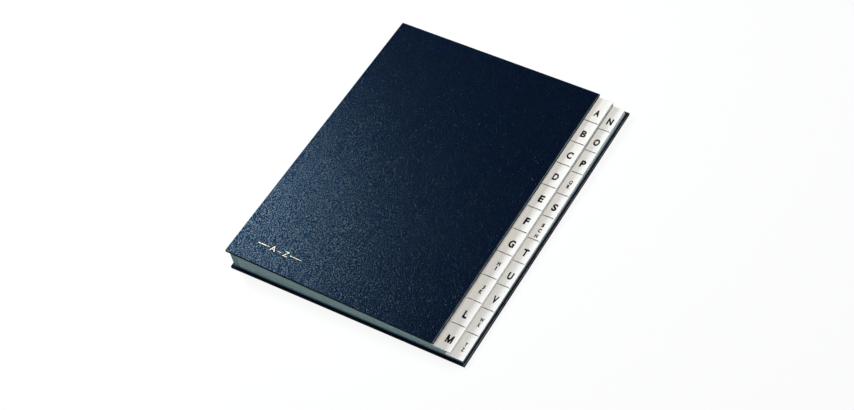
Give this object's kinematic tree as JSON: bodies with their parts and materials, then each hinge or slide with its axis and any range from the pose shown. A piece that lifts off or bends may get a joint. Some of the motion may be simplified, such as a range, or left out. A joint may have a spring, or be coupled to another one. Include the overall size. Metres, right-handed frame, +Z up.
{
  "type": "alphabetical desk sorter",
  "caption": "Book-like desk sorter with leatherette covers and two columns of step-cut white letter tabs; it opens at any letter to file loose sheets.",
  "frame": {"origin": "middle of the back cover's underside, which lies on the desk", "axes": "+X from the spine to the tabs, +Y from the tail to the head of the letters, +Z up out of the front cover"},
  "size_m": [0.27, 0.34, 0.0288],
  "materials": {
    "leatherette": "fine leather grain, satin",
    "greyboard": "bare greyboard",
    "lining_paper": "plain matt paper",
    "spine_cloth": "smooth bookcloth",
    "card": "dyed card, matt",
    "label": "white laminated label"
  },
  "bodies": {
    "back_cover": {"back_board": "greyboard", "back_leatherette": "leatherette", "back_lining": "lining_paper", "spine_cloth_lower": "spine_cloth"},
    "leaf_yz": {"divider_yz": "card", "tab_yz": "label"},
    "leaf_wx": {"divider_wx": "card", "tab_wx": "label"},
    "leaf_v": {"divider_v": "card", "tab_v": "label"},
    "leaf_u": {"divider_u": "card", "tab_u": "label"},
    "leaf_t": {"divider_t": "card", "tab_t": "label"},
    "leaf_sch": {"divider_sch": "card", "tab_sch": "label"},
    "leaf_s": {"divider_s": "card", "tab_s": "label"},
    "leaf_qr": {"divider_qr": "card", "tab_qr": "label"},
    "leaf_p": {"divider_p": "card", "tab_p": "label"},
    "leaf_o": {"divider_o": "card", "tab_o": "label"},
    "leaf_n": {"divider_n": "card", "tab_n": "label"},
    "leaf_m": {"divider_m": "card", "tab_m": "label"},
    "leaf_l": {"divider_l": "card", "tab_l": "label"},
    "leaf_jk": {"divider_jk": "card", "tab_jk": "label"},
    "leaf_hi": {"divider_hi": "card", "tab_hi": "label"},
    "leaf_g": {"divider_g": "card", "tab_g": "label"},
    "leaf_f": {"divider_f": "card", "tab_f": "label"},
    "leaf_e": {"divider_e": "card", "tab_e": "label"},
    "leaf_d": {"divider_d": "card", "tab_d": "label"},
    "leaf_c": {"divider_c": "card", "tab_c": "label"},
    "leaf_b": {"divider_b": "card", "tab_b": "label"},
    "leaf_a": {"divider_a": "card", "tab_a": "label"},
    "front_cover": {"front_board": "greyboard", "front_leatherette": "leatherette", "front_lining": "lining_paper", "spine_cloth_upper": "spine_cloth"}
  },
  "joints": [
    {"name": "open_yz", "type": "hinge", "parent": "back_cover", "child": "leaf_yz", "pos_m": [-0.1353, 0, 0.01439], "axis": [0, -1, 0], "range_deg": [0, 180]},
    {"name": "open_wx", "type": "hinge", "parent": "leaf_yz", "child": "leaf_wx", "pos_m": [-0.1353, 0, 0.01439], "axis": [0, -1, 0], "range_deg": [0, 180]},
    {"name": "open_v", "type": "hinge", "parent": "leaf_wx", "child": "leaf_v", "pos_m": [-0.1353, 0, 0.01439], "axis": [0, -1, 0], "range_deg": [0, 180]},
    {"name": "open_u", "type": "hinge", "parent": "leaf_v", "child": "leaf_u", "pos_m": [-0.1353, 0, 0.01439], "axis": [0, -1, 0], "range_deg": [0, 180]},
    {"name": "open_t", "type": "hinge", "parent": "leaf_u", "child": "leaf_t", "pos_m": [-0.1353, 0, 0.01439], "axis": [0, -1, 0], "range_deg": [0, 180]},
    {"name": "open_sch", "type": "hinge", "parent": "leaf_t", "child": "leaf_sch", "pos_m": [-0.1353, 0, 0.01439], "axis": [0, -1, 0], "range_deg": [0, 180]},
    {"name": "open_s", "type": "hinge", "parent": "leaf_sch", "child": "leaf_s", "pos_m": [-0.1353, 0, 0.01439], "axis": [0, -1, 0], "range_deg": [0, 180]},
    {"name": "open_qr", "type": "hinge", "parent": "leaf_s", "child": "leaf_qr", "pos_m": [-0.1353, 0, 0.01439], "axis": [0, -1, 0], "range_deg": [0, 180]},
    {"name": "open_p", "type": "hinge", "parent": "leaf_qr", "child": "leaf_p", "pos_m": [-0.1353, 0, 0.01439], "axis": [0, -1, 0], "range_deg": [0, 180]},
    {"name": "open_o", "type": "hinge", "parent": "leaf_p", "child": "leaf_o", "pos_m": [-0.1353, 0, 0.01439], "axis": [0, -1, 0], "range_deg": [0, 180]},
    {"name": "open_n", "type": "hinge", "parent": "leaf_o", "child": "leaf_n", "pos_m": [-0.1353, 0, 0.01439], "axis": [0, -1, 0], "range_deg": [0, 180]},
    {"name": "open_m", "type": "hinge", "parent": "leaf_n", "child": "leaf_m", "pos_m": [-0.1353, 0, 0.01439], "axis": [0, -1, 0], "range_deg": [0, 180]},
    {"name": "open_l", "type": "hinge", "parent": "leaf_m", "child": "leaf_l", "pos_m": [-0.1353, 0, 0.01439], "axis": [0, -1, 0], "range_deg": [0, 180]},
    {"name": "open_jk", "type": "hinge", "parent": "leaf_l", "child": "leaf_jk", "pos_m": [-0.1353, 0, 0.01439], "axis": [0, -1, 0], "range_deg": [0, 180]},
    {"name": "open_hi", "type": "hinge", "parent": "leaf_jk", "child": "leaf_hi", "pos_m": [-0.1353, 0, 0.01439], "axis": [0, -1, 0], "range_deg": [0, 180]},
    {"name": "open_g", "type": "hinge", "parent": "leaf_hi", "child": "leaf_g", "pos_m": [-0.1353, 0, 0.01439], "axis": [0, -1, 0], "range_deg": [0, 180]},
    {"name": "open_f", "type": "hinge", "parent": "leaf_g", "child": "leaf_f", "pos_m": [-0.1353, 0, 0.01439], "axis": [0, -1, 0], "range_deg": [0, 180]},
    {"name": "open_e", "type": "hinge", "parent": "leaf_f", "child": "leaf_e", "pos_m": [-0.1353, 0, 0.01439], "axis": [0, -1, 0], "range_deg": [0, 180]},
    {"name": "open_d", "type": "hinge", "parent": "leaf_e", "child": "leaf_d", "pos_m": [-0.1353, 0, 0.01439], "axis": [0, -1, 0], "range_deg": [0, 180]},
    {"name": "open_c", "type": "hinge", "parent": "leaf_d", "child": "leaf_c", "pos_m": [-0.1353, 0, 0.01439], "axis": [0, -1, 0], "range_deg": [0, 180]},
    {"name": "open_b", "type": "hinge", "parent": "leaf_c", "child": "leaf_b", "pos_m": [-0.1353, 0, 0.01439], "axis": [0, -1, 0], "range_deg": [0, 180]},
    {"name": "open_a", "type": "hinge", "parent": "leaf_b", "child": "leaf_a", "pos_m": [-0.1353, 0, 0.01439], "axis": [0, -1, 0], "range_deg": [0, 180]},
    {"name": "open_front_cover", "type": "hinge", "parent": "leaf_a", "child": "front_cover", "pos_m": [-0.1353, 0, 0.01439], "axis": [0, -1, 0], "range_deg": [0, 180]}
  ]
}
